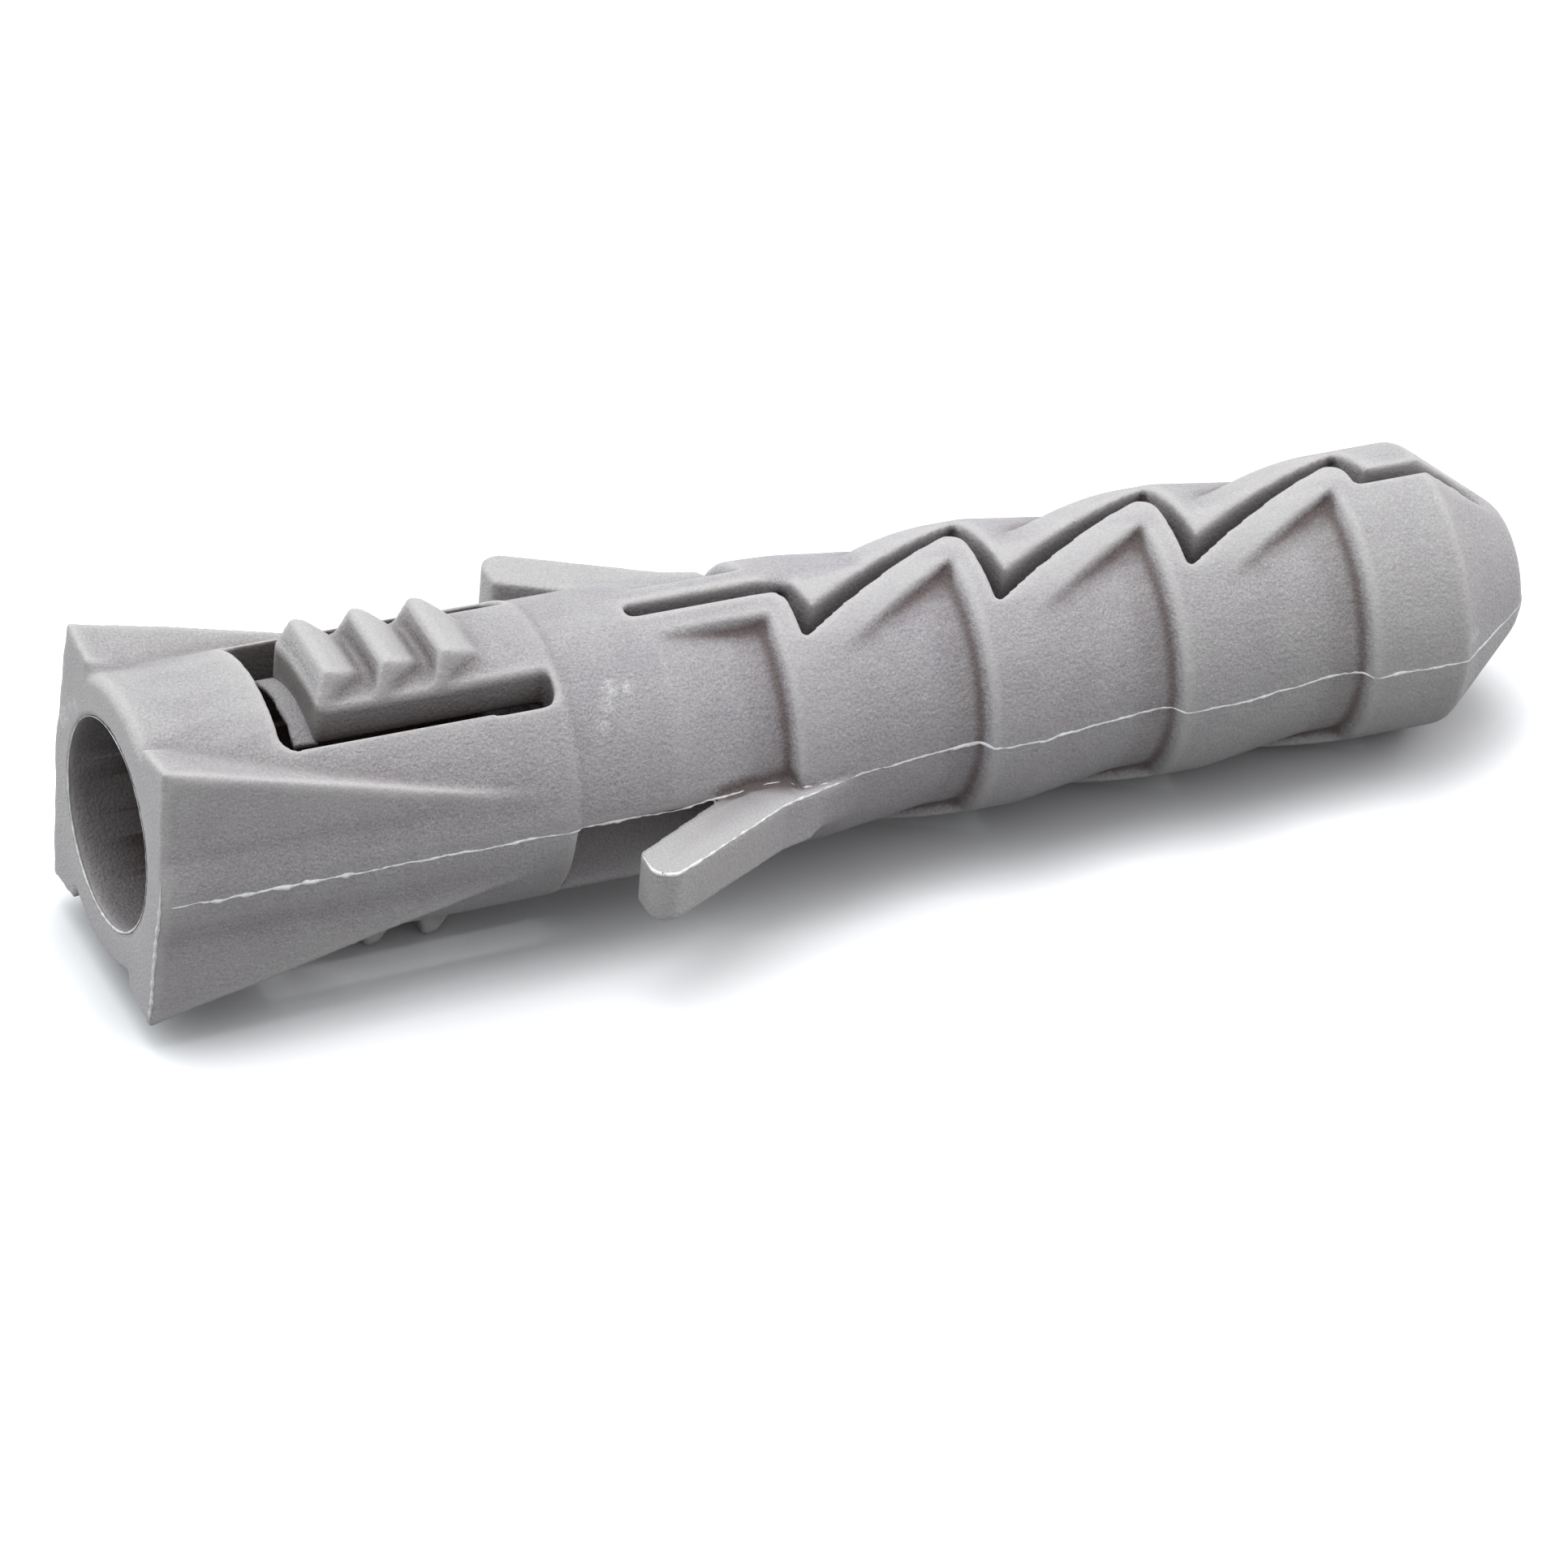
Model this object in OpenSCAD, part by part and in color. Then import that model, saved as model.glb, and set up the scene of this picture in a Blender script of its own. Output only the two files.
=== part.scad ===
// Nylon wall plug: bored head with four corner fins and two toothed locking tongues,
// a shank with two folding wings, and an expansion zone split by an interlocking zigzag.
// X runs along the plug from the head face to the tip, Z is up, and the origin is
// the centre of the bore's mouth. Millimetres.

/* [Overall] */
// Length from the head face to the end of the tip
plug_len = 40; // [39:0.5:60]
// Radius of every small moulded edge that is rounded here
edge_r = 0.18; // [0.1:0.01:0.3]

/* [Head] */
// Radius of the screw bore in the head
bore_r = 2.87; // [2.3:0.01:3.05]
// Radius of the collar at the head face
collar_front_r = 4.01; // [3.9:0.01:4.3]
// Radius of the collar at its rear end
collar_r = 3.95; // [3.85:0.01:4.2]
// Length of the collar
collar_len = 11.7; // [11:0.1:13]
// Distance of a fin's outer corner from the upright middle plane
fin_half_w = 3.64; // [3.4:0.01:3.8]
// Height of a fin's outer corner above the axis
fin_top = 4.1; // [3.9:0.01:4.5]
// Distance of a fin's inner wall from the upright middle plane
fin_inner = 1.98; // [1.6:0.01:2.4]
// Fall of a fin's upper face from its outer corner to its inner wall
fin_dip = 0.27; // [0.2:0.01:0.6]
// Length over which a fin runs down into the collar
fin_len = 10.3; // [6:0.1:11]
// Height above the axis at which a fin's outer face leaves the collar
fin_crease = 1.3; // [1:0.1:1.8]
// Draft angle of a fin's outer face
fin_draft = 3; // [1:0.5:5]

/* [Locking tongue] */
// Distance from the head face to the front edge of the window
window_start = 3.87; // [3:0.01:4.4]
// Distance from the head face to the tongue's root
window_end = 11.55; // [10.9:0.05:11.6]
// Half the width of the window
window_half_w = 2.4; // [2.1:0.01:2.6]
// Corner radius of the window
window_corner_r = 0.42; // [0.2:0.01:0.6]
// Half the width of the tongue
tongue_half_w = 1.55; // [1.2:0.01:1.7]
// Distance from the head face to the tongue's free end
tongue_start = 5.05; // [4.8:0.01:5.3]
// Number of teeth on the tongue
knurl_count = 3; // [2:1:3]
// Distance from one tooth to the next
knurl_pitch = 1.65; // [1.4:0.01:1.8]
// Height of a tooth's crest above the axis
knurl_top = 4.64; // [4.2:0.01:4.9]
// Backward lean of a tooth's steep face
knurl_lean = 0.3; // [0.1:0.01:0.4]
// Half the length of a tooth's crest
knurl_half_w = 1.28; // [1:0.01:1.4]
// Half the width of a tooth where its back runs out
knurl_tail_half_w = 0.72; // [0.5:0.01:1]
// Bend of a tooth's back: 1 is straight, more is fuller
knurl_bend = 1.5; // [1:0.1:2]

/* [Shank and barbs] */
// Radius of the shank
shank_r = 3.88; // [3.7:0.01:3.94]
// Number of barbs, the last one carrying the tip
barb_count = 4; // [3:1:4]
// Distance from one barb to the next
barb_pitch = 5.55; // [5:0.05:5.6]
// Radius of a barb's crest
barb_crest_r = 3.85; // [3.7:0.01:3.95]
// Radius at a barb's thin end
barb_root_r = 3.43; // [3.2:0.01:3.6]
// Length of a barb's cylindrical land
barb_land = 1.35; // [0.8:0.05:2]
// Length of the slope behind the land
barb_slope = 2.95; // [2:0.05:3.2]
// Length of the step up to the next barb
barb_step = 0.25; // [0.1:0.01:0.4]
// Length over which the shank narrows before the first barb
neck_len = 3.4; // [2.5:0.1:3.6]

/* [Tip] */
// Length of the last barb's cylindrical part
nose_land = 2.7; // [2:0.05:3.5]
// Length of the cone at the tip
nose_cone = 2.58; // [2:0.02:3.5]
// Radius of the tip's end face
nose_r = 1.92; // [1.4:0.01:2.4]

/* [Zigzag split] */
// Width of the straight and steep parts of the split
split_w = 0.52; // [0.35:0.01:0.7]
// Length of the split in front of the first barb
split_lead = 3.72; // [3:0.02:3.8]
// Distance from a barb's step to the steep edge of its tooth
tooth_lag = 0.67; // [0.5:0.01:0.9]
// Depth of a tooth's notch on the near half
notch_depth = 1.85; // [1.4:0.01:2.1]
// Rise of the slanted edge for each millimetre along the plug
slant = 0.54; // [0.4:0.01:0.6]
// Rounding of the near half's outer corners
tooth_round = 0.45; // [0.2:0.01:0.6]
// Width of the raised rim beside the zigzag, across the plug
rim_w = 0.98; // [0.6:0.01:1.2]
// Width of the raised rim beside the straight lead of the split
neck_rim_w = 0.78; // [0.5:0.01:1]
// Depth of the split over the tip's solid core, below a barb's thin end
tip_slot = 1.2; // [0.6:0.1:1.5]

/* [Wings] */
// Angle between a wing and the plug's axis
wing_angle = 29; // [20:1:32]
// Width of a wing seen from above
wing_w = 1.38; // [1:0.02:1.6]
// Height of a wing
wing_h = 1.52; // [1.2:0.02:1.8]
// Length of a wing's straight arm
wing_arm = 2.75; // [2:0.05:3.5]
// Inner radius of the bend at a wing's root
wing_bend_r = 4.42; // [3.5:0.02:5]
// Distance from the axis to a wing's inner face at its root
wing_root_y = 3.25; // [3.1:0.01:3.35]
// Rounding of a wing's outer corner
wing_corner_r = 0.53; // [0.3:0.01:0.6]
// Distance behind the first barb's step at which a wing runs into the barb
wing_merge = 1.6; // [1:0.05:2]
// Distance in front of that step at which a wing's outer face turns along the plug
wing_heel = 0.7; // [0.3:0.05:1]
// Distance from the axis to the flat inner wall of a wing's pocket
pocket_y = 2.8; // [2.75:0.01:3]
// Distance from a pocket's rear wall to the first barb's step
pocket_margin = 0.75; // [0.5:0.05:1]

/* [Screw channel] */
// Length over which the head's bore narrows to the channel
bore_taper = 2.1; // [1.5:0.1:3]
// Radius of the channel behind the head's bore
channel_r = 1.6; // [1.2:0.05:1.8]
// Radius of the channel at its far end
channel_end_r = 0.8; // [0.5:0.05:1]
// Thickness of the solid core left in the tip
core_len = 4.3; // [3.5:0.1:5]

/* [Hidden] */
$fn = 96;

nylon_grey = [0.61, 0.6, 0.6];
eps = 0.01;
reach = 6;                                    // taller than anything on the plug

barb_end = plug_len - nose_cone - nose_land;  // step of the last barb
barb_start = barb_end - (barb_count - 1) * barb_pitch;
split_start = barb_start - split_lead;
tooth_far = split_w;                          // far half's tooth tip behind the near steep edge
far_corner = split_w * 0.45;                  // far half's inner corner behind the near steep edge
split_rise = split_w * 1.1;                   // width of the slanted parts across the plug
far_slant = slant * 0.96;                     // the far half's edge rises a little less
bore_end = window_end - 0.3;                  // just before the tongue's root
wing_anchor_y = channel_r + 1;                // inside the wall, where a wing is rooted
knurl_base = bore_r + 0.2;                    // inside the tongue, where a tooth is rooted
knurl_foot = collar_r - 0.3;                  // below the tongue's surface at its edges
knurl_sink = 0.06;                            // how far a tooth's back ends below the collar's radius

function barb_x(k) = barb_start + k * barb_pitch;
function steep_x(k) = barb_x(k) + tooth_lag;

// Points of an arc about c, from angle a0 to a1
function arc(c, r, a0, a1, n = 8) =
    [for (i = [0 : n]) let (a = a0 + (a1 - a0) * i / n) c + r * [cos(a), sin(a)]];

// Points that round the corner b between a and c to radius r
function rounded(a, b, c, r, n = 5) =
    let (u = (a - b) / norm(a - b), v = (c - b) / norm(c - b),
         half = acos(u * v) / 2,
         centre = b + r / sin(half) * (u + v) / norm(u + v),
         p = b + r / tan(half) * u - centre,
         q = b + r / tan(half) * v - centre,
         turn = atan2(p.x * q.y - p.y * q.x, p * q))
    [for (i = [0 : n]) let (t = turn * i / n)
        centre + [p.x * cos(t) - p.y * sin(t), p.x * sin(t) + p.y * cos(t)]];

// A closed outline with every corner rounded to radius r
function rounded_outline(pts, r) =
    let (n = len(pts))
    [for (i = [0 : n - 1]) each rounded(pts[(i + n - 1) % n], pts[i], pts[(i + 1) % n], r)];

// The plug is the same after half a turn about its axis
module both_sides() {
    children();
    rotate([180, 0, 0]) children();
}

// Turns a [radius, distance from head] profile about the plug's axis
module turned(profile) {
    rotate([0, 90, 0]) rotate_extrude() polygon(profile);
}

// Collar, shank, full-radius barb zone and the blunt cone of the tip
module outer_form() {
    turned([[0, 0],
            [collar_front_r - edge_r, 0],
            [collar_front_r, edge_r],
            [collar_r, collar_len],
            [shank_r, collar_len],
            [shank_r, barb_start],
            [barb_crest_r, barb_start],
            [barb_crest_r, barb_end + nose_land],
            [nose_r, plug_len - edge_r],
            [nose_r - edge_r, plug_len],
            [0, plug_len]]);
}

// One wedge fin on the upper far corner of the head, running back into the collar
module fin() {
    fall = (fin_top - fin_crease) / fin_len;
    bank = atan(fin_dip / (fin_half_w - fin_inner));
    intersection() {
        translate([0, fin_inner, 0]) cube([fin_len + 1, reach, reach]);
        // below the sloping upper face
        translate([0, fin_half_w, fin_top])
            rotate([bank, 0, 0]) rotate([0, atan(fall * cos(bank)), 0])
                translate([-reach, -reach, -2 * reach]) cube([4 * reach, 2 * reach, 2 * reach]);
        // inside the drafted outer face
        translate([0, fin_half_w, fin_top]) rotate([fin_draft, 0, 0])
            translate([-reach, -2 * reach, -2 * reach]) cube([4 * reach, 2 * reach, 3 * reach]);
    }
}

module fins() {
    both_sides() {
        fin();
        mirror([0, 1, 0]) fin();
    }
}

// U-shaped window that frees the tongue from the collar
module tongue_window() {
    w = window_half_w;
    linear_extrude(reach) difference() {
        polygon(rounded_outline([[window_start, -w], [window_end, -w],
                                 [window_end, w], [window_start, w]], window_corner_r));
        translate([tongue_start, -tongue_half_w])
            square([window_end - tongue_start + eps, 2 * tongue_half_w]);
    }
}

// One tooth of the tongue: steep in front, a convex back that narrows as it falls
module knurl() {
    tail = knurl_pitch - knurl_lean;
    drop = knurl_top - collar_r + knurl_sink;
    back = [for (i = [1 : 5]) let (t = i / 5) [t * tail, knurl_top - drop * pow(t, knurl_bend)]];
    intersection() {
        rotate([90, 0, 0]) linear_extrude(2 * reach, center = true)
            polygon(concat([[-knurl_lean, knurl_base], [-knurl_lean, knurl_foot], [0, knurl_top]],
                           back, [[tail, knurl_base]]));
        linear_extrude(reach)
            polygon([[-knurl_lean, -tongue_half_w], [0, -tongue_half_w], [tail, -knurl_tail_half_w],
                     [tail, knurl_tail_half_w], [0, tongue_half_w], [-knurl_lean, tongue_half_w]]);
        rotate([90, 0, 90]) linear_extrude(4 * reach, center = true)
            polygon([[-tongue_half_w, knurl_base], [tongue_half_w, knurl_base],
                     [tongue_half_w, knurl_foot], [knurl_half_w, knurl_top],
                     [-knurl_half_w, knurl_top], [-tongue_half_w, knurl_foot]]);
    }
}

module knurls() {
    for (i = [0 : knurl_count - 1])
        translate([tongue_start + knurl_lean + i * knurl_pitch, 0, 0]) knurl();
}

// Edges of the split seen from above: the near half's teeth, then the far half's
function near_edge() =
    let (w = split_w / 2, last = barb_count - 1,
         start = [split_start, -w], corner = [steep_x(0), -w], notch = [steep_x(0), -notch_depth])
    concat([start], rounded(start, corner, notch, tooth_round), [notch],
        [for (k = [1 : last])
            let (peak = [steep_x(k), barb_pitch * slant - notch_depth],
                 before = [steep_x(k - 1), -notch_depth],
                 after = [steep_x(k), k == last ? -w : -notch_depth])
            each concat(rounded(before, peak, after, tooth_round), [after])],
        [[plug_len + 1, -w]]);

function far_edge() =
    let (w = split_w / 2, last = barb_count - 1, tip_y = split_rise - notch_depth + slant * tooth_far)
    concat([[split_start, w], [steep_x(0) + far_corner, w], [steep_x(0) + tooth_far, tip_y]],
        [for (k = [1 : last])
            let (rise = (barb_pitch - tooth_far + far_corner) * far_slant,
                 corner = [steep_x(k) + far_corner, tip_y + rise])
            each [corner, [steep_x(k) + tooth_far, k == last ? w : tip_y]]],
        [[plug_len + 1, w]]);

function reversed(v) = [for (i = [len(v) - 1 : -1 : 0]) v[i]];

// The zigzag split, open to the screw channel and shallow over the tip's core
module split() {
    intersection() {
        linear_extrude(reach) polygon(concat(near_edge(), reversed(far_edge())));
        union() {
            cube([2 * (plug_len - core_len), 2 * reach, 2 * reach], center = true);
            translate([0, -reach, barb_root_r - tip_slot]) cube([plug_len + 2, 2 * reach, reach]);
        }
    }
}

// A bar along X that keeps the rim beside the split at full height
module rim_bar(near, far) {
    translate([-2 * barb_pitch, -near, 0]) cube([4 * barb_pitch, near + far, reach]);
}

// Taper cut behind barb k, up to the step of the next one
module barb_taper(k) {
    run_angle = atan(slant);
    slope_start = barb_x(k) + barb_land;
    difference() {
        turned([[barb_crest_r, slope_start],
                [barb_root_r, slope_start + barb_slope],
                [barb_root_r, barb_x(k + 1) - barb_step],
                [barb_crest_r, barb_x(k + 1)],
                [reach, barb_x(k + 1)],
                [reach, slope_start]]);
        both_sides() translate([steep_x(k), -notch_depth, 0]) rotate([0, 0, run_angle])
            rim_bar(rim_w * cos(run_angle), (rim_w + split_rise) * cos(run_angle));
    }
}

// Taper cut that narrows the shank in front of the first barb
module neck_taper() {
    side = split_w / 2 + neck_rim_w;
    difference() {
        turned([[shank_r, barb_start - neck_len],
                [barb_root_r, barb_start - neck_len / 3],
                [barb_root_r, barb_start - barb_step],
                [shank_r, barb_start],
                [reach, barb_start],
                [reach, barb_start - neck_len]]);
        both_sides() translate([barb_start, 0, 0]) rim_bar(side, side);
    }
}

// Outline of the near wing on the parting plane: bend at the root, then a straight arm
function wing_outline() =
    let (c = [barb_start, -wing_root_y - wing_w - wing_bend_r],
         a = 90 + wing_angle,
         along = [-cos(wing_angle), -sin(wing_angle)],
         inner_end = c + (wing_bend_r + wing_w) * [cos(a), sin(a)],
         outer_end = c + wing_bend_r * [cos(a), sin(a)],
         tip_in = inner_end + wing_arm * along,
         tip_out = [tip_in.x, outer_end.y - (outer_end.x - tip_in.x) * tan(wing_angle)],
         merge = [barb_start + wing_merge, -barb_crest_r + 2 * eps],
         heel = [barb_start - wing_heel, (outer_end.y + merge.y) / 2 + eps])
    concat(
        [[merge.x, -wing_anchor_y], merge, heel],
        rounded(outer_end, tip_out, tip_in, wing_corner_r),
        rounded(tip_out, tip_in, inner_end, edge_r),
        arc(c, wing_bend_r + wing_w, a, 90));

// Folding wing that stops the plug turning in its hole
module wing() {
    translate([0, 0, -wing_h]) linear_extrude(wing_h) polygon(wing_outline());
}

// Pocket in the shank that the wing folds into
module wing_pocket() {
    translate([collar_len + eps, -reach - pocket_y, -reach])
        cube([barb_start - pocket_margin - collar_len, reach, reach]);
}

// Screw bore, its taper and the channel between the two halves
module screw_channel() {
    turned([[0, -1], [bore_r, -1], [bore_r, bore_end], [channel_r, bore_end + bore_taper],
            [channel_end_r, plug_len - core_len], [0, plug_len - core_len]]);
}

module plug_body() {
    color(nylon_grey) union() {
        difference() {
            union() {
                outer_form();
                fins();
            }
            neck_taper();
            for (k = [0 : barb_count - 2]) barb_taper(k);
            both_sides() {
                tongue_window();
                split();
                wing_pocket();
            }
            screw_channel();
        }
        both_sides() {
            knurls();
            wing();
        }
    }
}

plug_body();
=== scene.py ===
"""Looks of the nylon wall plug

The CAD solid is remeshed with the soft edges of a moulding. Flash lies along its parting line,
a thin lip ends each tongue, and the nylon has an eroded grain. A pale floor, soft studio light
and the photograph's camera complete the scene.
"""
import bpy
import bmesh
import numpy as np
from mathutils import Matrix, Vector
from mathutils.bvhtree import BVHTree
from mathutils.kdtree import KDTree


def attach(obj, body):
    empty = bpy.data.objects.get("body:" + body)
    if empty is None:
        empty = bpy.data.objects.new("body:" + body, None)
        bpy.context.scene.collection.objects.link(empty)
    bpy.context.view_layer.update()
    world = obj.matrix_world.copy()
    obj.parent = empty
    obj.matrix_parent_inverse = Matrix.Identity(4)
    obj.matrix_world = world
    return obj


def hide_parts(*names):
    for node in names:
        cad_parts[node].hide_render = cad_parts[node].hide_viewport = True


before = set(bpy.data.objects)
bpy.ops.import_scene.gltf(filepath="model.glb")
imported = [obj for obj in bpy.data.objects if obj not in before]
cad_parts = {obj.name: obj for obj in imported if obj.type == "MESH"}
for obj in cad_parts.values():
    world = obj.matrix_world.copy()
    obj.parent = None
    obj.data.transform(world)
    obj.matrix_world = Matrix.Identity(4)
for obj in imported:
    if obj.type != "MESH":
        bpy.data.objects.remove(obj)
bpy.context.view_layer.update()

MM = 0.001                        # shapes are made in millimetres and scaled to metres at the end

# The camera of the photograph, solved from the plug's circles, in millimetres
PHOTO_SIZE = 1932                 # in pixels, as is the focal length
FOCAL_PX = 18714.3
CAMERA_AT = Vector((-122.534, -297.032, 231.119))
CAMERA_FORWARD = Vector((0.3514, 0.7355, -0.5793))
CAMERA_UP = Vector((0.1732, 0.557, 0.8123))
SENSOR = 36
CLIP_START, CLIP_END = 0.01, 10   # in metres

# Sizes and places on the plug, in millimetres
PLUG_LEN = 40
BORE_R = 2.87
COLLAR_END = 11.7
WING_TIP_X = 12.85                # end face of a wing
WING_TIP_Y = (5.45, 6.72)         # its reach across the plug
WING_END = 19.3                   # where a wing's outer edge has run into the barb
TONGUE_X = 5.05                   # free end of a tongue
TONGUE_HALF_W = 1.5
REST_TOOTH = Vector((8.65, 0, -4.64))     # where the plug touches the floor, under the head
REST_BARB = Vector((37.42, 0, -3.841))    # and under the last barb

# The body's mesh
WELD = 0.002                      # points closer than this are joined
VOXEL = 0.075
SMOOTH_PASSES = 22
ROOT_PASSES = 110                 # more passes where the wings run into the barbs
TRIANGLES = 180000

# Softness of the moulded edges: the share of each smoothing pass that a point follows
SOFT_BODY = 0.14
SOFT_BARBS = 0.18
SOFT_FINS = 0.3
SOFT_FAR_CORNERS = 0.6            # the far fins' corners are rounder
SOFT_TEETH = 0.2
SOFT_BORE = 0.5                   # the bore's even wall
SOFT_PARTING = 0.06               # crisp where the mould halves meet

# Limits of the zones with a softness of their own
BARBS_X, BARBS_R = COLLAR_END + 2, 3.2
FIN_Y, FIN_Z, FIN_R = 1.9, 0.8, 3.8
CORNER_X, CORNER_R = 1.2, 4.8     # a fin's corner beside the head's face
TEETH_START, TEETH_END, TEETH_R = TONGUE_X + 0.3, TONGUE_X + 5.2, 4
TEETH_HALF_W = TONGUE_HALF_W + 0.2
BORE_START, BORE_WALL_R = 0.4, BORE_R + 0.1
PARTING_HALF_H = 0.25

# Where a wing runs into its barb
ROOT_R = 3.3
ROOT_SHIFT = 0.5                  # middle of the blend, past the wing's end
ROOT_FULL, ROOT_NONE = 0.9, 1.5   # distances from that middle
ROOT_Z = (0.2, 0.45)

# Maps on the body's points: painted shade in hollows and deep places, painted highlights on edges,
# and grain
BLUR = 0.5                        # share of each blurring pass that a value follows
HOLLOW_PASSES = 26                # reach of the map of hollows and edges
HOLLOW_DEPTH = 0.029
# share of the painted shade in hollows that the head keeps
HOLLOW_SHADE_IN_HEAD = 0.45
HOLLOW_BLUR = 5
SHADE_RAYS = 14                   # rays of the map of deep places
SHADE_SEED = 11
SHADE_REACH = 7
SHADE_LIFT = 0.03                 # the rays start this far off the surface
SHADE_LEAN = 1.01                 # and lean to its normal, so that none goes into it
SHADE_BLUR = 4
DEEP_RANGE = (0.3, 0.8)           # closed-off share of the view where the painted shade starts and ends
# strength of the painted shade of deep places, in the head and behind it
DEEP_SHADE_IN_HEAD, DEEP_SHADE_BEHIND = 0.8, 0.38
BORE_FADE = (-0.4, 1.4)           # the bore's painted shade deepens from its mouth inwards
SMOOTH_GRAIN = 0.65               # grain left on the smooth faces
EDGE_GRAIN_LOSS = 0.5

# Limits of the maps' zones
DARK_HEAD_X = COLLAR_END + 1
BORE_MAP_R = BORE_R + 0.12
HEAD_FACE_X = 0.08
LEVEL_NORMAL, LEVEL_HALF_H = 0.97, 0.15   # level faces in the parting plane
WINGS_X, WINGS_Y = COLLAR_END + 0.8, 4.1

# Flash
FLASH_STEP = 0.07
FLASH_R = 0.037
FLASH_MIN_R = 0.008
FLASH_SIDES = 6

# Unevenness of the flash: stations from one random number to the next, and shares of its radius
FINE, COARSE, LUMPS = 2, 9, 14
EVEN_SHARE, COARSE_SHARE, LUMP_SHARE = 0.8, 0.25, 1.8
LUMP_FROM = 0.45                  # the random number from which there is a lump
END_SHARE, END_STATIONS = 0.15, 5

# Where the threads run
OUTSIDE_Y = -20                   # rays that look for the near side start here
INWARD, ALONG = (0, 1, 0), (1, 0, 0)
PARTING_RAY_Z, WING_RAY_Z, FACE_RAY_X = 0.03, -0.06, 0.05
FACE_TOP, FACE_BOTTOM = 0.7, -3.9
PARTING_WAVE, PARTING_JITTER = 0.035, 0.015
PARTING_OUT = 0.008
BEADS_X = (1.4, 8.2)              # stretch of the parting line with beads on it
BEAD_SHARE = 1.4
WING_JITTER, WING_DROP, WING_OUT = 0.012, 0.02, 0.02
WING_ROUGH, WING_SHARE = 0.6, 0.9
FACE_SHARE, RIM_SHARE = 1.3, 0.8

# Lips of the tongues
LIP_STATIONS, LIP_ROWS = 80, 6
LIP_LEN = 0.5
LIP_ROOT = 0.15                   # how far a lip reaches into its tongue
LIP_TOP, LIP_BOTTOM = BORE_R + 0.14, BORE_R + 0.01
LIP_WAVE, LIP_JITTER = 0.03, 0.015
# the lips' grain, and a little painted shade of deep places
LIP_GRAIN, LIP_DEEP_SHADE = 1.0, 0.1


# Mesh helpers

def link(name, data):
    ob = bpy.data.objects.new(name, data)
    bpy.context.scene.collection.objects.link(ob)
    return ob


def read_points(mesh):
    co = np.empty(len(mesh.vertices) * 3)
    mesh.vertices.foreach_get("co", co)
    return co.reshape(-1, 3)


def write_points(mesh, co):
    mesh.vertices.foreach_set("co", np.asarray(co, np.float32).ravel())
    mesh.update()


def read_normals(mesh):
    normals = np.empty(len(mesh.vertices) * 3)
    mesh.vertices.foreach_get("normal", normals)
    return normals.reshape(-1, 3)


def ray_tree(mesh):
    """The mesh as a tree that rays are cast on"""
    return BVHTree.FromPolygons([v.co for v in mesh.vertices],
                                [tuple(p.vertices) for p in mesh.polygons])


def with_modifier(mesh, kind, **settings):
    """The mesh as one modifier leaves it"""
    ob = link("work", mesh)
    modifier = ob.modifiers.new("work", kind)
    for key, value in settings.items():
        setattr(modifier, key, value)
    depsgraph = bpy.context.evaluated_depsgraph_get()
    made = bpy.data.meshes.new_from_object(ob.evaluated_get(depsgraph))
    bpy.data.objects.remove(ob)
    return made


def relaxed(mesh, values, softness, passes):
    """Values of the points moved towards the mean of their neighbours, by each one's softness"""
    edges = np.empty(len(mesh.edges) * 2, int)
    mesh.edges.foreach_get("vertices", edges)
    a, b = edges.reshape(-1, 2).T
    n = len(values)
    count = np.bincount(a, minlength=n) + np.bincount(b, minlength=n)
    for _ in range(passes):
        mean = np.stack([np.bincount(a, c[b], n) + np.bincount(b, c[a], n) for c in values.T], 1)
        values = values + (mean / count[:, None] - values) * softness[:, None]
    return values


def blurred(mesh, values, passes):
    return relaxed(mesh, values, np.full(len(values), BLUR), passes)


def ramp(value, low, high):
    return np.clip((value - low) / (high - low), 0, 1)


def wander(count, period, seed):
    """Smooth random numbers from -1 to 1, with a new one every few stations"""
    knots = np.random.default_rng(seed).uniform(-1, 1, int(count / period) + 3)
    return np.interp(np.arange(count) / period, np.arange(len(knots)), knots)


# The plug's body

def softness_at(co):
    """How soft the moulding's edges are at each point, from 0 to 1"""
    x, y, z = co.T
    across, up, radius = np.abs(y), np.abs(z), np.hypot(y, z)
    soft = np.full(len(co), SOFT_BODY)
    soft[(x > BARBS_X) & (radius > BARBS_R)] = SOFT_BARBS
    fins = (x < COLLAR_END) & (across > FIN_Y) & (up > FIN_Z) & (radius > FIN_R)
    soft[fins] = SOFT_FINS
    soft[fins & (x < CORNER_X) & (y > 0) & (radius > CORNER_R)] = SOFT_FAR_CORNERS
    along_teeth = (x > TEETH_START) & (x < TEETH_END)
    soft[along_teeth & (radius > TEETH_R) & (across < TEETH_HALF_W)] = SOFT_TEETH
    soft[(x > BORE_START) & (radius < BORE_WALL_R)] = SOFT_BORE
    soft[up < PARTING_HALF_H] = SOFT_PARTING
    return soft


def wing_roots(co):
    """Where a wing runs into its barb, which is blended over a wider stretch"""
    x, y, z = co.T
    beside = (y * z > 0) & (np.hypot(y, z) > ROOT_R)
    near = ramp(-np.abs(x - WING_END - ROOT_SHIFT), -ROOT_NONE, -ROOT_FULL)
    return beside * near * ramp(np.abs(z), *ROOT_Z)


def hollowness(mesh, co):
    """How far each point lies in a hollow (above 0) or on an edge (below 0)"""
    smooth = blurred(mesh, co, HOLLOW_PASSES)
    return ((smooth - co) * read_normals(mesh)).sum(1) / HOLLOW_DEPTH


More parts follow.
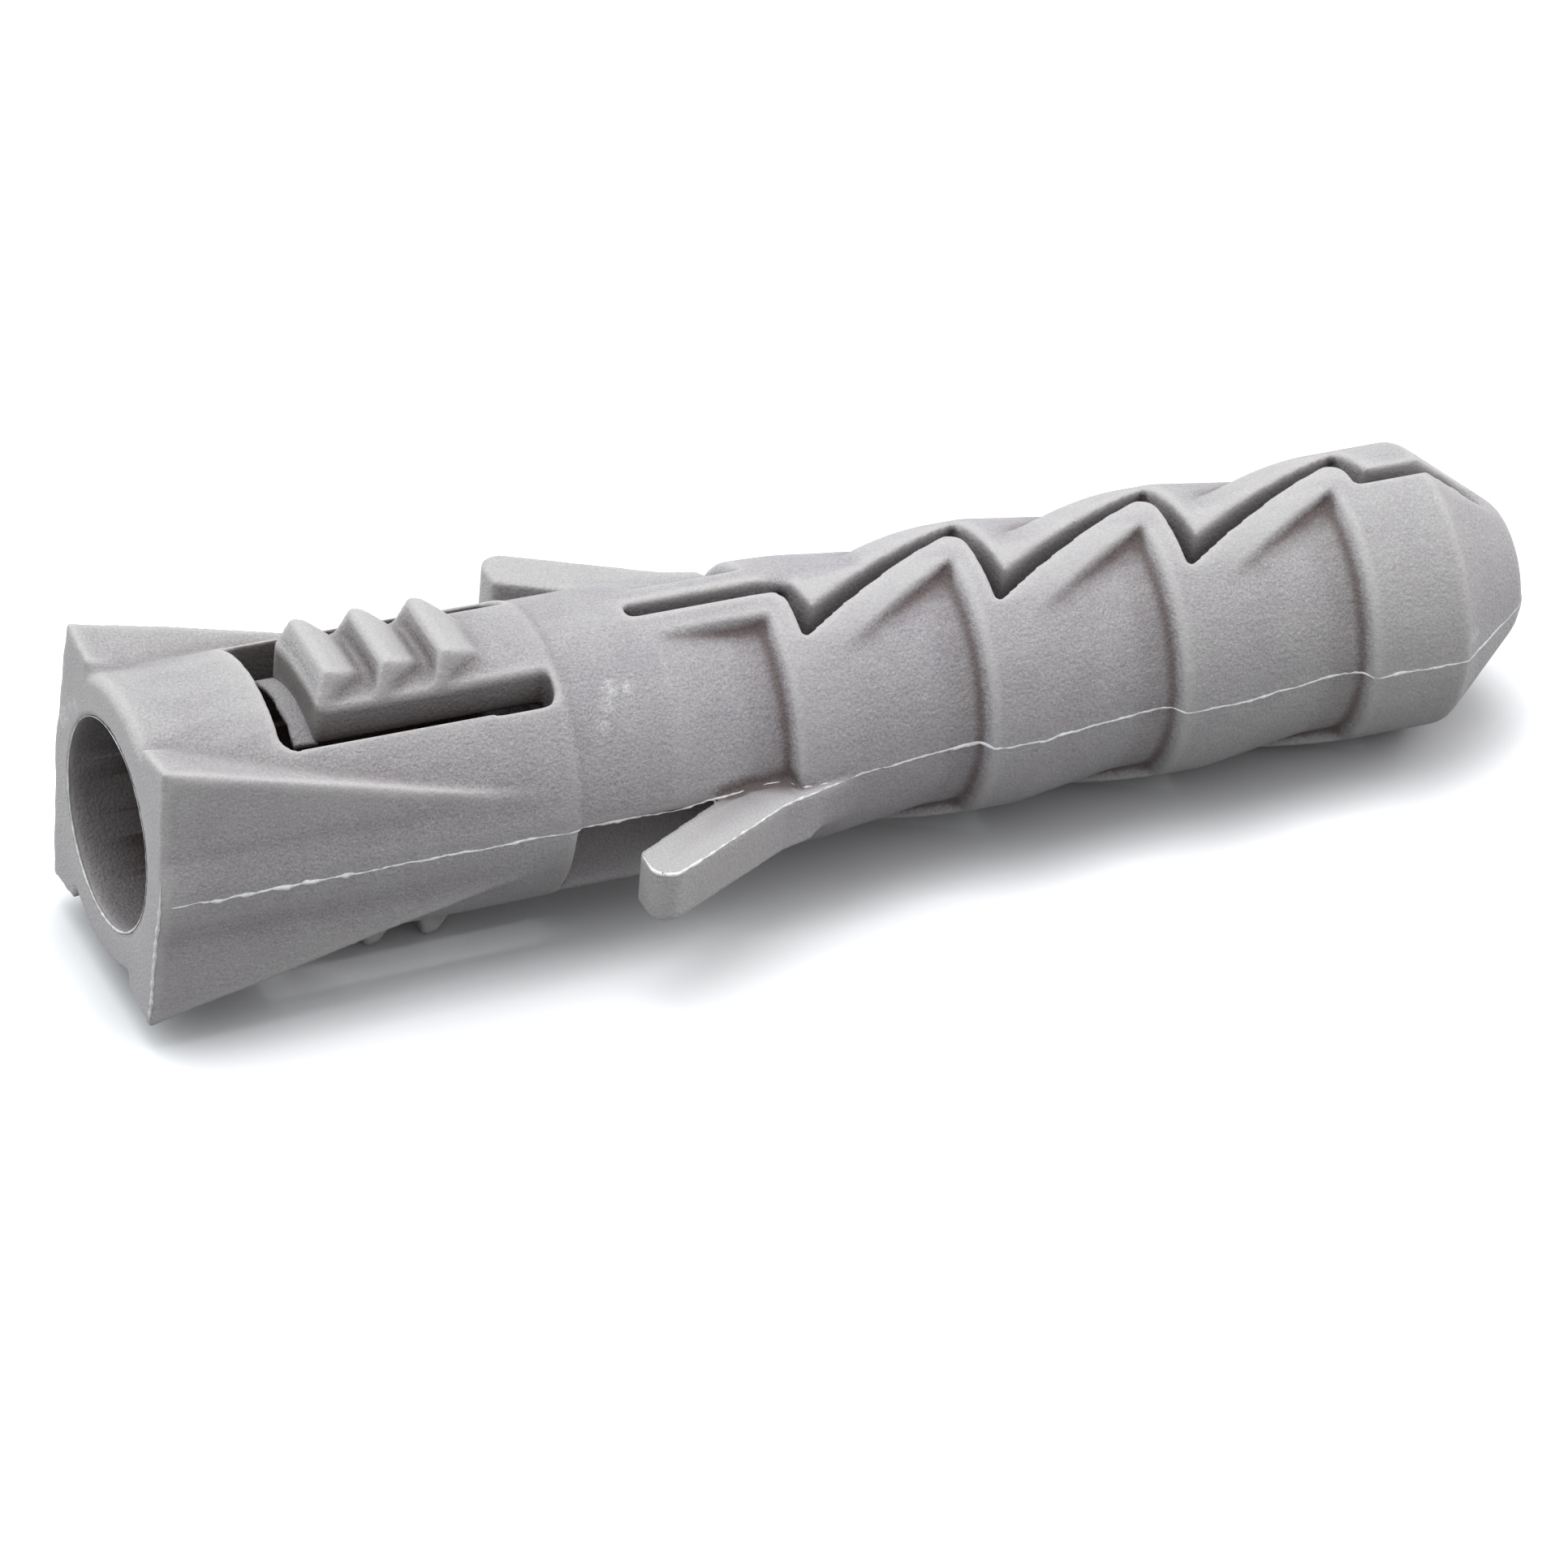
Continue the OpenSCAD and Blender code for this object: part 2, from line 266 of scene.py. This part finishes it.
def shade(mesh):
    """How much of each point's view is closed off, from 0 in the open to 1 deep inside"""
    tree = ray_tree(mesh)
    spread = np.random.default_rng(SHADE_SEED).normal(size=(SHADE_RAYS, 3))
    spread /= np.linalg.norm(spread, axis=1)[:, None]
    closed = np.zeros(len(mesh.vertices))
    for i, (point, normal) in enumerate(zip(read_points(mesh), read_normals(mesh))):
        start = Vector(point + SHADE_LIFT * normal)
        closed[i] = sum(tree.ray_cast(start, Vector(ray), SHADE_REACH)[0] is not None
                        for ray in spread + normal * SHADE_LEAN)
    return blurred(mesh, closed[:, None] / SHADE_RAYS, SHADE_BLUR)[:, 0]


def nearest(co, targets):
    tree = KDTree(len(co))
    for i, point in enumerate(co):
        tree.insert(point, i)
    tree.balance()
    return np.array([tree.find(point)[1] for point in targets])


def set_map(mesh, name, values):
    attribute = mesh.attributes.new(name, "FLOAT", "POINT")
    attribute.data.foreach_set("value", values.astype(np.float32))


def set_maps(mesh, hollow):
    """The maps that the nylon's material reads: painted shade, painted edge highlights and grain"""
    x, y, z = read_points(mesh).T
    upright = np.abs(read_normals(mesh)[:, 2])
    edge = np.clip(-hollow, 0, 1)
    # painted shade in creases and concave corners, weaker in the head
    set_map(mesh, "hollow", np.clip(hollow, 0, 1) * np.where(x > COLLAR_END, 1, HOLLOW_SHADE_IN_HEAD))
    # painted shade where the rays find the view closed off, and in the bore from its mouth inwards
    deep = ramp(shade(mesh), *DEEP_RANGE) * np.where(x > DARK_HEAD_X, DEEP_SHADE_BEHIND, DEEP_SHADE_IN_HEAD)
    in_bore = (np.hypot(y, z) < BORE_MAP_R) & (x < COLLAR_END)
    set_map(mesh, "deep", np.where(in_bore, ramp(x, *BORE_FADE), deep))
    # convex edges: a painted highlight in the nylon's colour, and less grain
    set_map(mesh, "edge", edge)
    level_face = (upright > LEVEL_NORMAL) & (np.abs(z) < LEVEL_HALF_H)
    wings = (x > WINGS_X) & (np.abs(y) > WINGS_Y)
    set_map(mesh, "grain", np.where(level_face | (x < HEAD_FACE_X) | wings, SMOOTH_GRAIN,
                                    1 - EDGE_GRAIN_LOSS * edge))


def plug_mesh():
    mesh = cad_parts["plug_body"].data.copy()
    mesh.transform(Matrix.Scale(1 / MM, 4))
    welded = bmesh.new()
    welded.from_mesh(mesh)
    bmesh.ops.remove_doubles(welded, verts=welded.verts, dist=WELD)
    welded.to_mesh(mesh)
    welded.free()
    mesh = with_modifier(mesh, "REMESH", mode="VOXEL", voxel_size=VOXEL)
    co = read_points(mesh)
    co = relaxed(mesh, co, softness_at(co), SMOOTH_PASSES)
    co = relaxed(mesh, co, wing_roots(co), ROOT_PASSES)
    write_points(mesh, co)
    hollow = hollowness(mesh, co)
    mesh = with_modifier(mesh, "TRIANGULATE")
    mesh = with_modifier(mesh, "DECIMATE", ratio=TRIANGLES / len(mesh.polygons))
    hollow = hollow[nearest(co, read_points(mesh)), None]
    set_maps(mesh, blurred(mesh, hollow, HOLLOW_BLUR)[:, 0])
    return mesh


# Flash: ragged threads of nylon where the mould parts met, and the lips of the tongues

class Flash:
    """A mesh made of closed threads and slabs"""
    def __init__(self):
        self.verts, self.faces = [], []

    def thread(self, points, outward, radius):
        """A thread along the points, with a radius for each"""
        points = np.asarray(points, float)
        along = np.gradient(points, axis=0)
        along /= np.linalg.norm(along, axis=1)[:, None]
        outward = np.broadcast_to(np.asarray(outward, float), points.shape)
        outward = outward - (outward * along).sum(1)[:, None] * along
        outward /= np.linalg.norm(outward, axis=1)[:, None]
        side = np.cross(along, outward)
        first, n = len(self.verts), FLASH_SIDES
        for j in range(n):
            angle = 2 * np.pi * j / n
            spoke = np.cos(angle) * outward + np.sin(angle) * side
            self.verts += list(points + radius[:, None] * spoke)
        count = len(points)
        for j in range(n):
            a, b = first + j * count, first + (j + 1) % n * count
            self.faces += [(a + i, a + i + 1, b + i + 1, b + i) for i in range(count - 1)]
        self.faces.append([first + j * count for j in range(n)])
        self.faces.append([first + (n - 1 - j) * count + count - 1 for j in range(n)])

    def slab(self, top, bottom):
        """A closed slab between two grids of points"""
        rows, columns = top.shape[:2]
        first, under = len(self.verts), len(self.verts) + rows * columns
        self.verts += list(top.reshape(-1, 3)) + list(bottom.reshape(-1, 3))
        grid = [(i, j) for i in range(rows - 1) for j in range(columns - 1)]
        for base, turn in ((first, 1), (under, -1)):
            self.faces += [[base + i * columns + j, base + (i + 1) * columns + j,
                            base + (i + 1) * columns + j + 1, base + i * columns + j + 1][::turn]
                           for i, j in grid]
        rim = ([i * columns for i in range(rows)]
               + [(rows - 1) * columns + j for j in range(1, columns)]
               + [i * columns + columns - 1 for i in range(rows - 2, -1, -1)]
               + list(range(columns - 2, 0, -1)))
        for a, b in zip(rim, rim[1:] + rim[:1]):
            self.faces.append((first + b, first + a, under + a, under + b))

    def mesh(self, name):
        mesh = bpy.data.meshes.new(name)
        mesh.from_pydata([tuple(v) for v in self.verts], [], self.faces)
        mesh.update()
        return mesh


def ragged(count, seed, rough=0.35):
    """Radii of a ragged thread: fine and coarse unevenness, a few thicker lumps, thin ends"""
    lumps = np.clip(wander(count, LUMPS, seed + 50) - LUMP_FROM, 0, 1) * LUMP_SHARE
    fine = rough * wander(count, FINE, seed)
    coarse = COARSE_SHARE * wander(count, COARSE, seed + 1)
    radius = FLASH_R * (EVEN_SHARE + fine + coarse + lumps)
    from_end = np.minimum(np.arange(count), np.arange(count)[::-1])
    return np.maximum(radius, FLASH_MIN_R) * np.clip(END_SHARE + from_end / END_STATIONS, 0, 1)


def cast(tree, starts, direction=INWARD):
    """Where the rays from the starts meet the body"""
    hits = [tree.ray_cast(Vector(start), Vector(direction))[0] for start in starts]
    return np.array([hit for hit in hits if hit])


def parting_thread(flash, points, side):
    """The ragged line between the mould halves, with beads on the head"""
    n = len(points)
    level = PARTING_WAVE * wander(n, 7, 3 + side) + PARTING_JITTER * wander(n, 2, 8 + side)
    line = np.stack([points[:, 0], points[:, 1] + PARTING_OUT, level], 1)
    on_head = (line[:, 0] > BEADS_X[0]) & (line[:, 0] < BEADS_X[1])
    beads = 1 + BEAD_SHARE * on_head * np.clip(wander(n, 4, 20 + side), 0, 1)
    turn = np.array([1, side, side])
    flash.thread(line * turn, np.array([0, -1, 0]) * turn, ragged(n, 30 + side) * beads)


def wing_thread(flash, points, side):
    """The thread along a wing's end face and outer edge"""
    n = len(points)
    level = WING_JITTER * wander(n, 3, 12 + side) - WING_DROP
    line = np.stack([points[:, 0], points[:, 1] + WING_OUT, level], 1)
    turn = np.array([1, side, side])
    flash.thread(line * turn, np.array([-0.2, -0.6, 0.6]) * turn,
                 WING_SHARE * ragged(n, 33 + side, WING_ROUGH))


def face_thread(flash, points):
    """The thread down the near edge of the head's face, thicker below the parting line"""
    weight = ramp(-points[:, 2], -0.6, 0.3) * 0.7 + 0.45
    flash.thread(points + np.array([-0.03, 0.02, 0]), (-0.7, -0.7, 0),
                 FACE_SHARE * weight * ragged(len(points), 37))


def rim_thread(flash):
    """The thread round the bore's mouth, from the far side down, thicker below"""
    angle = np.radians(np.arange(-35, 325, 1.4))
    rim = np.stack([np.full(len(angle), 0.012), BORE_R * np.cos(angle), -BORE_R * np.sin(angle)], 1)
    weight = 0.35 + 0.75 * ramp(np.sin(angle) + 0.4 * np.cos(angle), -0.2, 0.5)
    flash.thread(rim, (-1, 0, 0), RIM_SHARE * weight * ragged(len(angle), 48))


def flash_mesh(body):
    tree = ray_tree(body)
    parting = cast(tree, [(x, OUTSIDE_Y, PARTING_RAY_Z)
                          for x in np.arange(0.1, PLUG_LEN - 0.05, FLASH_STEP)])
    wing_end = cast(tree, [(WING_TIP_X - 0.7, -y, WING_RAY_Z)
                           for y in np.arange(*WING_TIP_Y, FLASH_STEP)], ALONG)
    wing_edge = cast(tree, [(x, OUTSIDE_Y, WING_RAY_Z)
                            for x in np.arange(WING_TIP_X + 0.2, WING_END, FLASH_STEP)])
    face = cast(tree, [(FACE_RAY_X, OUTSIDE_Y, z)
                       for z in np.arange(FACE_TOP, FACE_BOTTOM, -FLASH_STEP)])
    flash = Flash()
    for side in (1, -1):          # the plug is the same after half a turn
        parting_thread(flash, parting, side)
        wing_thread(flash, np.concatenate([wing_end, wing_edge]), side)
    face_thread(flash, face)
    rim_thread(flash)
    return flash.mesh("flash")


def lips_mesh():
    """The thin lip of each tongue, where its free end met the mould's core"""
    lips = Flash()
    y, x = np.meshgrid(np.linspace(-TONGUE_HALF_W, TONGUE_HALF_W, LIP_STATIONS),
                       np.linspace(0, 1, LIP_ROWS))
    for side in (1, -1):
        wave = LIP_WAVE * wander(LIP_STATIONS, 9, 40 + side)
        length = LIP_LEN + wave + LIP_JITTER * wander(LIP_STATIONS, 2, 44 + side)
        along = TONGUE_X + LIP_ROOT - (length + LIP_ROOT) * x
        top, bottom = (np.stack([along, side * y, side * np.sqrt(r * r - y * y)], 2)
                       for r in (LIP_TOP, LIP_BOTTOM))
        lips.slab(top, bottom)
    mesh = lips.mesh("lips")
    set_map(mesh, "grain", np.full(len(mesh.vertices), LIP_GRAIN))
    set_map(mesh, "deep", np.full(len(mesh.vertices), LIP_DEEP_SHADE))
    return mesh


def add_piece(name, mesh, material):
    mesh.transform(Matrix.Scale(MM, 4))
    mesh.materials.clear()
    mesh.materials.append(material)
    mesh.polygons.foreach_set("use_smooth", [True] * len(mesh.polygons))
    ob = link(name, mesh)
    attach(ob, "root")
    return ob


# Materials

class Shader:
    """A Principled material and short calls for its nodes"""
    def __init__(self, name):
        self.material = bpy.data.materials.new(name)
        self.material.use_nodes = True
        self.nodes = self.material.node_tree.nodes
        self.links = self.material.node_tree.links
        self.main = self.nodes["Principled BSDF"]
        self.place = self.node("TexCoord", "Object", {})

    def set(self, **values):
        for key, value in values.items():
            self.main.inputs[key.replace("_", " ")].default_value = value

    def node(self, kind, output, inputs, **settings):
        """A new node's output, with numbers, colours or other outputs at the node's inputs"""
        node = self.nodes.new("ShaderNode" + kind)
        for key, value in settings.items():
            setattr(node, key, value)
        for key, value in inputs.items():
            if isinstance(value, bpy.types.NodeSocket):
                self.links.new(value, node.inputs[key])
            elif isinstance(value, tuple):
                node.inputs[key].default_value = value + (1,)
            else:
                node.inputs[key].default_value = value
        return node.outputs[output]

    def noise(self, scale, detail=2, roughness=0.5):
        return self.node("TexNoise", "Fac", {"Scale": scale, "Detail": detail,
                                             "Roughness": roughness, "Vector": self.place})

    def map(self, name):
        return self.node("Attribute", "Fac", {}, attribute_name=name)

    def range(self, value, low, high, to_low=0.0, to_high=1.0):
        return self.node("MapRange", "Result", {"From Min": low, "From Max": high,
                                                "To Min": to_low, "To Max": to_high,
                                                "Value": value})

    def math(self, kind, a, b):
        return self.node("Math", "Value", {0: a, 1: b}, operation=kind)

    def mix(self, factor, a, b, blend="MIX"):
        return self.node("Mix", 2, {"Factor": factor, 6: a, 7: b},
                         data_type="RGBA", blend_type=blend)

    def bump(self, height, distance, strength, normal=None):
        inputs = {"Distance": distance, "Height": height, "Strength": strength}
        if normal:
            inputs["Normal"] = normal
        return self.node("Bump", "Normal", inputs)

    def spots(self, places):
        """A mask of soft round spots, each a centre and a size in millimetres"""
        mask = None
        for centre, size in places:
            away = self.node("VectorMath", "Value", {1: Vector(centre) * MM, 0: self.place},
                             operation="DISTANCE")
            spot = self.range(away, size * 0.35 * MM, size * MM, 1.0, 0.0)
            mask = self.math("MAXIMUM", mask, spot) if mask else spot
        return mask

    def finish(self, color, normal):
        self.links.new(color, self.main.inputs["Base Color"])
        self.links.new(normal, self.main.inputs["Normal"])
        return self.material


NYLON = (0.458, 0.439, 0.446)
NYLON_VIOLET = (0.46, 0.432, 0.458)
# painted shade in creases and concave corners
NYLON_HOLLOW_SHADE = (0.15, 0.112, 0.104)
# painted shade in deep places and the bore
NYLON_DEEP_SHADE = (0.062, 0.04, 0.035)
# pale tone of the random clouds, and the painted highlight on edges
NYLON_PALE_AND_HIGHLIGHT = (0.6, 0.586, 0.572)
# whitish rubbed scuffs, and painted glints
NYLON_SCUFF_AND_GLINT = (0.8, 0.8, 0.82)
PIT_SHADE = (0.1, 0.1, 0.1)
FLASH_DULL = (0.66, 0.66, 0.67)
FLASH_PALE = (0.95, 0.95, 0.96)

# Scales of the noises, per metre
TINTS = 70
CLOUDS = 900
SWELLS = 1300
FLASH_TINTS = 6000
PATCHES = 7000
GRAINS = 9500
FLASH_GRAINS = 12000
GLINTS = 13000
PITS = 15000

# Heights of the bumps, in metres
SWELL_H = 0.00003
GRAIN_H = 0.000065
FLASH_GRAIN_H = 0.00002

# Ranges of the noises that are spread from nothing to all, and the shares mixed in
SOFT_STEP = (0.35, 0.65)
GLINT_STEP = (0.7, 0.75)
PATCH_STEP = (0.38, 0.6)
PIT_STEP = (0.32, 0.68)
CLOUD_SHARE = 0.28
EDGE_HIGHLIGHT_SHARE = 0.5
GLINT_SHARE = 0.5
SCUFF_SHARE = 0.75
HOLLOW_SHADE_SHARE = 0.85
PIT_SHARE = 0.43

# Whitish rubbed spots: on the shank, the nose, the head's face beside the bore, and the far fin
SCUFFS = [((13.05, -2.25, 3.15), 0.3), ((12.85, -2.6, 2.87), 0.28), ((12.6, -2.95, 2.5), 0.26),
          ((13.5, -2.3, 3.1), 0.25), ((16.5, -3.3, 2.04), 0.3), ((16.45, -3.45, 1.75), 0.2),
          ((16.35, -3.64, 1.35), 0.28), ((37.6, -3.5, 0.6), 0.34), ((0, 3.28, 1.3), 0.36),
          ((0, 3.42, 1), 0.3), ((0, 2.95, 1.8), 0.2), ((0, 2.6, 2.1), 0.2),
          ((0.9, 4.6, 3.6), 0.34), ((1.5, 4.4, 3.6), 0.26)]


def nylon():
    """Grey nylon: tinted clouds, painted highlights on the edges, painted glints and rubbed scuffs,
    painted shade in hollows and deep places, and fine pits
    """
    shader = Shader("nylon")
    shader.set(Roughness=0.55, Specular_IOR_Level=0.22, Subsurface_Weight=0.12,
               Subsurface_Radius=(1.0, 0.75, 0.62), Subsurface_Scale=0.0005)
    pit_noise = shader.noise(PITS, 3, 0.7)
    color = shader.mix(shader.range(shader.noise(TINTS, 1), *SOFT_STEP), NYLON, NYLON_VIOLET)
    clouds = shader.range(shader.noise(CLOUDS, 3), *SOFT_STEP, 0.0, CLOUD_SHARE)
    color = shader.mix(clouds, color, NYLON_PALE_AND_HIGHLIGHT)
    # painted highlight along convex edges
    edge = shader.math("MULTIPLY", shader.map("edge"), EDGE_HIGHLIGHT_SHARE)
    color = shader.mix(edge, color, NYLON_PALE_AND_HIGHLIGHT)
    grain = shader.map("grain")
    # painted glints: pale specks where the grain is
    glints = shader.range(shader.noise(GLINTS, 1), *GLINT_STEP, 0.0, GLINT_SHARE)
    color = shader.mix(shader.math("MULTIPLY", grain, glints), color, NYLON_SCUFF_AND_GLINT)
    patchy = shader.range(shader.noise(PATCHES, 4, 0.7), *PATCH_STEP, 0.0, SCUFF_SHARE)
    color = shader.mix(shader.math("MULTIPLY", shader.spots(SCUFFS), patchy), color, NYLON_SCUFF_AND_GLINT)
    # painted shade in creases and concave corners
    hollow = shader.math("MULTIPLY", shader.map("hollow"), HOLLOW_SHADE_SHARE)
    color = shader.mix(hollow, color, NYLON_HOLLOW_SHADE)
    # painted shade in deep places and the bore
    color = shader.mix(shader.map("deep"), color, NYLON_DEEP_SHADE)
    pits = shader.range(pit_noise, *PIT_STEP, 0.0, PIT_SHARE)
    pits = shader.math("MULTIPLY", grain, pits)
    color = shader.mix(pits, color, PIT_SHADE, "MULTIPLY")
    normal = shader.bump(shader.noise(SWELLS, 2), SWELL_H, 0.5)
    normal = shader.bump(shader.noise(GRAINS, 3, 0.6), GRAIN_H, grain, normal)
    return shader.finish(color, normal)


def flash_nylon():
    """The paler nylon of the thin flash"""
    shader = Shader("flash_nylon")
    shader.set(Roughness=0.55, IOR=1.53, Subsurface_Weight=0.2,
               Subsurface_Radius=(1.0, 0.9, 0.85), Subsurface_Scale=0.0003)
    tint = shader.range(shader.noise(FLASH_TINTS, 3, 0.6), *SOFT_STEP)
    color = shader.mix(tint, FLASH_DULL, FLASH_PALE)
    return shader.finish(color, shader.bump(shader.noise(FLASH_GRAINS), FLASH_GRAIN_H, 0.6))


# Camera, floor and light

FLOOR_SIZE = 1500
FLOOR_BOUNCE = (0.12, 0.12, 0.12, 1)      # the floor's colour as the plug is lit by it
FLOOR_SEEN = (1.18, 1.18, 1.195)          # as the camera sees it: the photograph's white ground
FLOOR_CONTACT_SHADOW = (0.4, 0.4, 0.41)          # and the painted contact shadow where the plug closes it off
CONTACT_REACH = 2.6
CONTACT_SAMPLES = 8

WORLD_COLOR = (0.97, 0.985, 1, 1)
WORLD_STRENGTH = 0.7
COOL, WHITE = (0.93, 0.985, 1), (1, 1, 1)

# Each lamp's name, place and width in metres, power in watts, and colour
LAMPS = [("key", (-0.19, 0.14, 0.32), 0.6, 1.25, COOL),
         ("overhead", (0.02, 0.04, 0.4), 0.3, 0.42, WHITE),
         ("right_fill", (0.38, 0.04, 0.2), 0.3, 0.5, WHITE),
         ("front_fill", (0.14, -0.11, 0.07), 0.1, 0.024, WHITE)]


def camera():
    data = bpy.data.cameras.new("photo_camera")
    data.sensor_width = SENSOR
    data.lens = FOCAL_PX / PHOTO_SIZE * SENSOR
    data.clip_start, data.clip_end = CLIP_START, CLIP_END
    cam = link("photo_camera", data)
    back = -CAMERA_FORWARD.normalized()
    right = CAMERA_UP.cross(back).normalized()
    cam.matrix_world = Matrix.Translation(CAMERA_AT * MM) @ \
        Matrix((right, back.cross(right), back)).transposed().to_4x4()
    bpy.context.scene.camera = cam


def floor():
    """A floor under the plug, lifted to white for what sees it, with a contact shadow painted from
    an occlusion node
    """
    along = (REST_BARB - REST_TOOTH).normalized()
    middle = (REST_BARB + REST_TOOTH) / 2
    corners = [middle + along * (i * FLOOR_SIZE) + Vector((0, 1, 0)) * (j * FLOOR_SIZE)
               for i, j in ((-1, -1), (1, -1), (1, 1), (-1, 1))]
    mesh = bpy.data.meshes.new("floor")
    mesh.from_pydata([c * MM for c in corners], [], [(0, 1, 2, 3)])
    shader = Shader("floor")
    shader.set(Base_Color=FLOOR_BOUNCE, Roughness=0.9, Specular_IOR_Level=0.1)
    # painted contact shadow: the seen floor darkens where an occlusion node finds the plug near
    painted_shadow = shader.node("AmbientOcclusion", "AO", {"Distance": CONTACT_REACH * MM},
                          samples=CONTACT_SAMPLES)
    lifted = shader.node("BsdfDiffuse", "BSDF",
                         {"Color": shader.mix(painted_shadow, FLOOR_CONTACT_SHADOW, FLOOR_SEEN)})
    path = shader.nodes.new("ShaderNodeLightPath").outputs
    gloss = shader.math("MAXIMUM", path["Is Glossy Ray"], path["Is Transmission Ray"])
    seen = shader.math("MAXIMUM", path["Is Camera Ray"], gloss)
    surface = shader.node("MixShader", "Shader",
                          {"Fac": seen, 1: shader.main.outputs["BSDF"], 2: lifted})
    shader.links.new(surface, shader.nodes["Material Output"].inputs["Surface"])
    mesh.materials.append(shader.material)
    link("floor", mesh)


def soft_lamp(name, at, size, power, color):
    data = bpy.data.lights.new(name, "AREA")
    data.shape = "DISK"
    data.size = size
    data.energy = power
    data.color = color
    at, aim = Vector(at), Vector((PLUG_LEN / 2, 0, 0)) * MM
    link(name, data).matrix_world = Matrix.Translation(at) @ \
        (at - aim).to_track_quat("Z", "Y").to_matrix().to_4x4()


def light():
    world = bpy.data.worlds.new("studio")
    world.use_nodes = True
    background = world.node_tree.nodes["Background"].inputs
    background["Color"].default_value = WORLD_COLOR
    background["Strength"].default_value = WORLD_STRENGTH
    bpy.context.scene.world = world
    for lamp in LAMPS:
        soft_lamp(*lamp)


camera()
body = plug_mesh()
trim = flash_mesh(body)
plastic = nylon()
plug = add_piece("plug", body, plastic)
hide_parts("plug_body")
add_piece("flash", trim, flash_nylon())
add_piece("tongue_lips", lips_mesh(), plastic)
floor()
light()
bpy.context.scene.view_settings.view_transform = "Standard"
